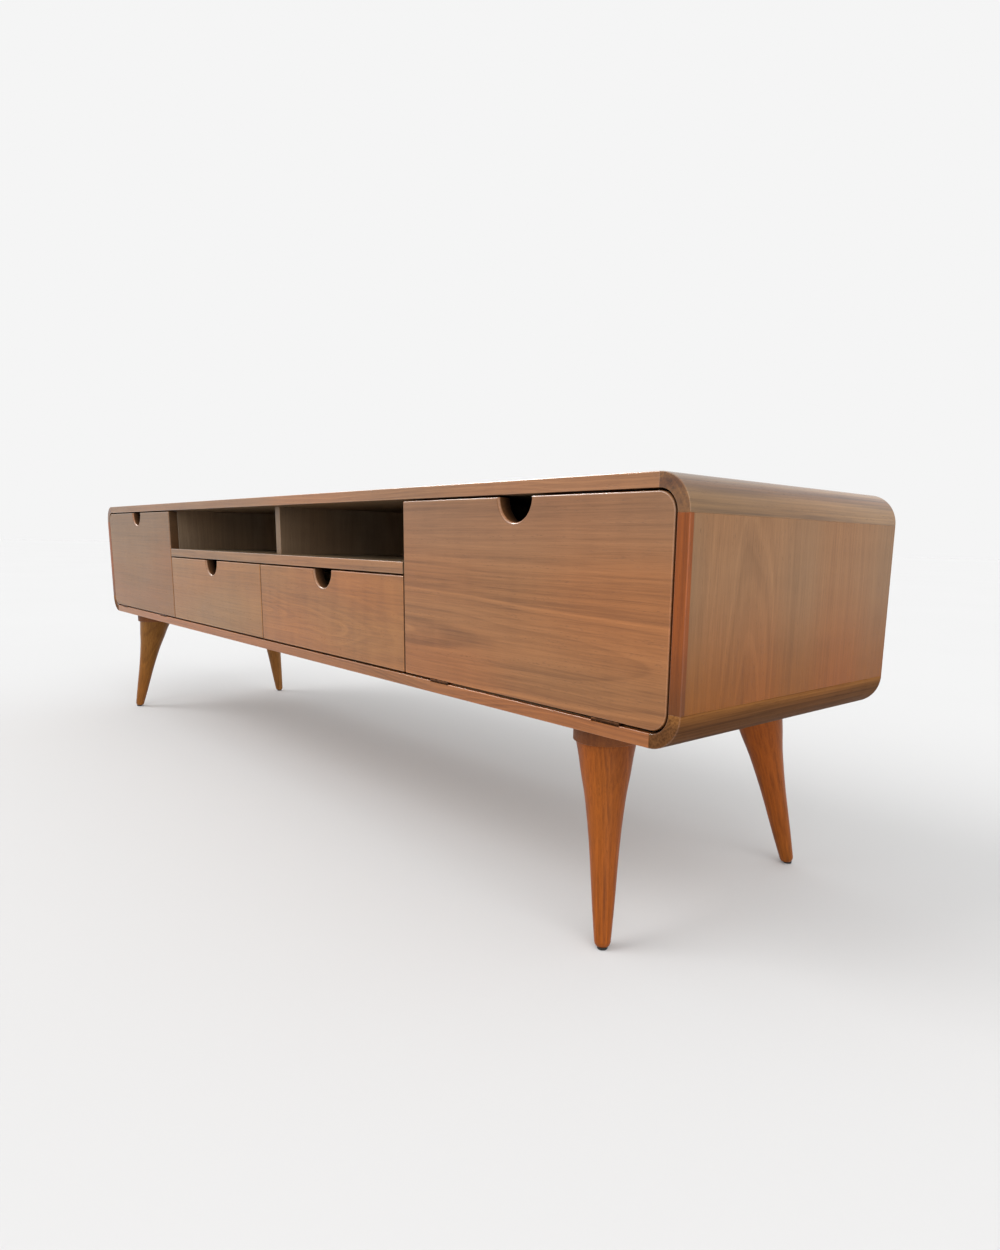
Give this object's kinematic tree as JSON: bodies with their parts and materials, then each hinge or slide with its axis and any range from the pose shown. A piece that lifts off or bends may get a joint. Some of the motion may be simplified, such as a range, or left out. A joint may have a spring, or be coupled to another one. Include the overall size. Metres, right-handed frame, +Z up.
{
  "type": "tv console cabinet",
  "caption": "Low walnut television console with rounded ends, drop-down end flaps, middle drawers under open bays, half-round finger notches and splayed turned legs.",
  "frame": {"origin": "on the floor, under the middle of the cabinet's width and depth", "axes": "+X to the right along the width as seen from the front, the fronts face -Y, +Z up"},
  "size_m": [1.9, 0.41, 0.51],
  "materials": {
    "walnut_veneer": "satin clear lacquer on walnut veneer",
    "walnut_front": "satin clear lacquer on walnut veneer, grain running across",
    "walnut_solid": "satin clear lacquer on solid walnut",
    "walnut_inner": "thin satin lacquer on walnut veneer",
    "walnut_turned": "satin lacquer on turned solid walnut, warmer in tone",
    "walnut_dark": "dark satin lacquer on solid walnut",
    "back_plywood": "thin lacquer on plywood",
    "drawer_birch": "thin lacquer on birch plywood",
    "beech": "waxed beech",
    "screw_steel": "zinc-plated steel",
    "dark_brass": "darkened brass",
    "brass": "satin brass",
    "black_plastic": "matte black plastic"
  },
  "bodies": {
    "carcass": {"back_panel": "back_plywood", "back_panel_screws": "screw_steel", "bay_divider": "walnut_inner", "bottom_front_lipping": "walnut_solid", "bottom_left_corner_block": "walnut_solid", "bottom_panel": "walnut_veneer", "bottom_right_corner_block": "walnut_solid", "carcass_dowels": "beech", "corner_splines": "beech", "drawer_partition": "walnut_inner", "drawer_runners": "beech", "drawer_stop_strips": "beech", "fitting_screws": "screw_steel", "flap_catches": "black_plastic", "foot_glides": "black_plastic", "front_left_leg": "walnut_turned", "front_right_leg": "walnut_turned", "hinge_carcass_leaves": "dark_brass", "hinge_pins": "dark_brass", "left_front_lipping": "walnut_solid", "left_partition": "walnut_inner", "left_side_panel": "walnut_veneer", "leg_block_screws": "screw_steel", "leg_blocks": "walnut_dark", "leg_hanger_bolts": "screw_steel", "middle_shelf": "walnut_inner", "rear_left_leg": "walnut_turned", "rear_right_leg": "walnut_turned", "right_front_lipping": "walnut_solid", "right_partition": "walnut_inner", "right_side_panel": "walnut_veneer", "stay_guides": "brass", "top_front_lipping": "walnut_solid", "top_left_corner_block": "walnut_solid", "top_panel": "walnut_veneer", "top_right_corner_block": "walnut_solid"},
    "left_flap": {"left_flap": "walnut_front", "left_flap_hinge_leaves": "dark_brass", "left_flap_screws": "screw_steel", "left_flap_stay": "brass", "left_flap_strike_plate": "screw_steel"},
    "right_flap": {"right_flap": "walnut_front", "right_flap_hinge_leaves": "dark_brass", "right_flap_screws": "screw_steel", "right_flap_stay": "brass", "right_flap_strike_plate": "screw_steel"},
    "left_drawer": {"left_drawer_back": "drawer_birch", "left_drawer_bottom": "drawer_birch", "left_drawer_front": "walnut_front", "left_drawer_inner_side": "drawer_birch", "left_drawer_outer_side": "drawer_birch", "left_drawer_screws": "screw_steel", "left_drawer_stop_button": "beech"},
    "right_drawer": {"right_drawer_back": "drawer_birch", "right_drawer_bottom": "drawer_birch", "right_drawer_front": "walnut_front", "right_drawer_inner_side": "drawer_birch", "right_drawer_outer_side": "drawer_birch", "right_drawer_screws": "screw_steel", "right_drawer_stop_button": "beech"}
  },
  "joints": [
    {"name": "left_flap_hinge", "type": "hinge", "parent": "carcass", "child": "left_flap", "pos_m": [-0.70175, -0.203, 0.2615], "axis": [1, 0, 0], "range_deg": [0, 80]},
    {"name": "right_flap_hinge", "type": "hinge", "parent": "carcass", "child": "right_flap", "pos_m": [0.70175, -0.203, 0.2615], "axis": [1, 0, 0], "range_deg": [0, 80]},
    {"name": "left_drawer_slide", "type": "slide", "parent": "carcass", "child": "left_drawer", "axis": [0, -1, 0], "range_m": [0, 0.25]},
    {"name": "right_drawer_slide", "type": "slide", "parent": "carcass", "child": "right_drawer", "axis": [0, -1, 0], "range_m": [0, 0.25]}
  ]
}
